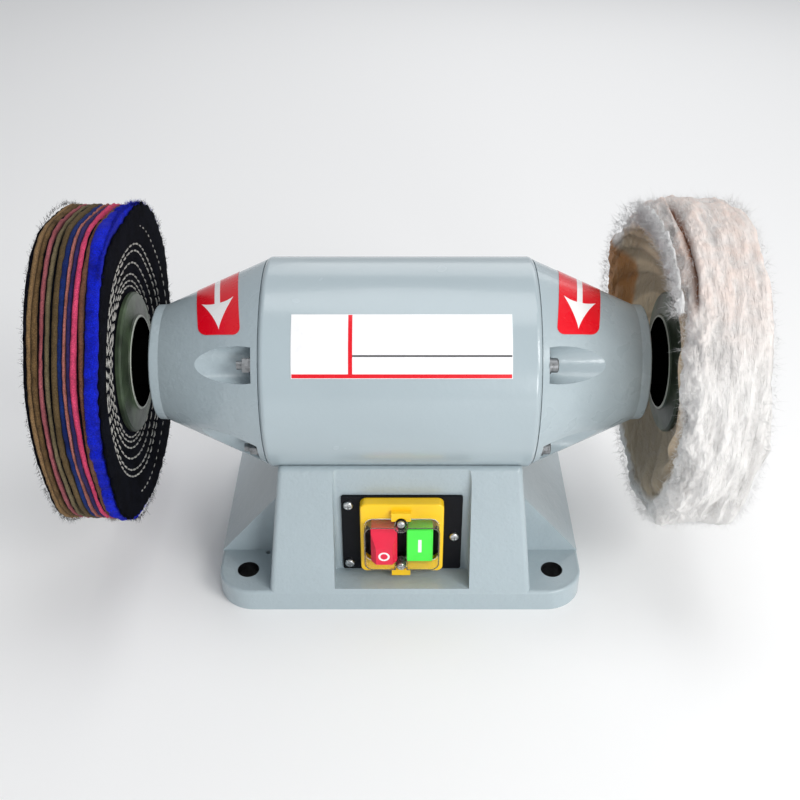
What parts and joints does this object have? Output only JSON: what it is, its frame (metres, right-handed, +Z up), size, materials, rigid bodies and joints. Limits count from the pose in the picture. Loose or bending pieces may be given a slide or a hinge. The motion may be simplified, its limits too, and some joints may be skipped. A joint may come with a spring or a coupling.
{
  "type": "bench grinder",
  "caption": "Double-ended bench grinder fitted as a polisher: a motor on a cast pedestal with a stop and start switch, and a cloth buff clamped on each end of the shaft.",
  "frame": {"origin": "on the bench, under the middle of the motor", "axes": "+X along the motor shaft towards the right-hand buff, -Y towards the switch and the user, +Z up"},
  "size_m": [0.43, 0.206, 0.248],
  "materials": {
    "painted_casting": "gloss grey-blue hammered enamel",
    "barrel_paint": "gloss grey-blue enamel",
    "galvanised": "zinc plated sheet",
    "bright_steel": "zinc plated fasteners",
    "ground_steel": "turned and ground",
    "black_steel": "dark oxide, satin",
    "lamination": "stacked sheet steel",
    "copper": "enamelled copper wire",
    "cast_aluminium": "as cast",
    "bearing_steel": "polished",
    "coloured_cloth": "sewn denim and cotton plies",
    "white_cotton": "loose cotton",
    "white_label": "printed film, blank",
    "red_label": "printed film",
    "black_plastic": "moulded",
    "yellow_plastic": "moulded",
    "clear_plastic": "clear moulded plastic",
    "red_plastic": "moulded",
    "green_plastic": "moulded",
    "spring_steel": "drawn wire",
    "capacitor_can": "moulded can",
    "terminal_plastic": "moulded",
    "rubber": "moulded seal"
  },
  "bodies": {
    "housing": {"base_casting": "painted_casting", "bottom_plate": "galvanised", "bottom_plate_screws": "bright_steel", "saddle_screws": "bright_steel", "motor_barrel": "barrel_paint", "tie_bolts": "bright_steel", "tie_bolt_washers": "bright_steel", "tie_bolt_nuts": "bright_steel", "stator_core": "lamination", "stator_windings": "copper", "rating_label": "white_label", "switch_plate": "black_plastic", "switch_plate_screws": "bright_steel", "switch_frame": "yellow_plastic", "switch_frame_screws": "bright_steel", "switch_body": "black_plastic", "switch_guard": "clear_plastic", "stop_spring": "spring_steel", "start_spring": "spring_steel", "capacitor": "capacitor_can", "capacitor_clamp": "galvanised", "terminal_block": "terminal_plastic", "cable_gland_body": "black_plastic", "cable_gland_cap": "black_plastic", "cable_gland_seal": "rubber", "cable_gland_locknut": "black_plastic", "left_end_bell": "painted_casting", "right_end_bell": "painted_casting", "left_bearing_outer_ring": "bearing_steel", "right_bearing_outer_ring": "bearing_steel", "left_wave_washer": "spring_steel", "right_wave_washer": "spring_steel", "left_arrow_label": "red_label", "right_arrow_label": "red_label"},
    "rotor": {"shaft": "ground_steel", "rotor_core": "lamination", "rotor_cage": "cast_aluminium", "left_buff": "coloured_cloth", "right_buff": "white_cotton", "left_bearing_inner_ring": "bearing_steel", "left_inner_flange": "black_steel", "left_outer_flange": "black_steel", "left_arbor_nut": "bright_steel", "right_bearing_inner_ring": "bearing_steel", "right_inner_flange": "black_steel", "right_outer_flange": "black_steel", "right_arbor_nut": "bright_steel"},
    "left_ball_set": {"left_bearing_balls": "bearing_steel", "left_bearing_cage": "galvanised"},
    "right_ball_set": {"right_bearing_balls": "bearing_steel", "right_bearing_cage": "galvanised"},
    "stop": {"stop_button": "red_plastic"},
    "start": {"start_button": "green_plastic"}
  },
  "joints": [
    {"name": "rotor_spin", "type": "hinge", "parent": "housing", "child": "rotor", "pos_m": [0, 0, 0.145], "axis": [1, 0, 0], "continuous": true},
    {"name": "left_ball_set_spin", "type": "hinge", "parent": "housing", "child": "left_ball_set", "pos_m": [-0.137, 0, 0.145], "axis": [1, 0, 0], "continuous": true},
    {"name": "right_ball_set_spin", "type": "hinge", "parent": "housing", "child": "right_ball_set", "pos_m": [0.137, 0, 0.145], "axis": [1, 0, 0], "continuous": true},
    {"name": "stop_press", "type": "slide", "parent": "housing", "child": "stop", "axis": [0, 1, 0], "range_m": [0, 0.003], "stiffness_N_per_m": 300, "springref_m": -0.001, "deforming": ["stop_spring"]},
    {"name": "start_press", "type": "slide", "parent": "housing", "child": "start", "axis": [0, 1, 0], "range_m": [0, 0.003], "stiffness_N_per_m": 300, "springref_m": -0.001, "deforming": ["start_spring"]}
  ],
  "couplings": [
    {"joint": "left_ball_set_spin", "follows": "rotor_spin", "ratio": 0.3821},
    {"joint": "right_ball_set_spin", "follows": "rotor_spin", "ratio": 0.3821}
  ]
}
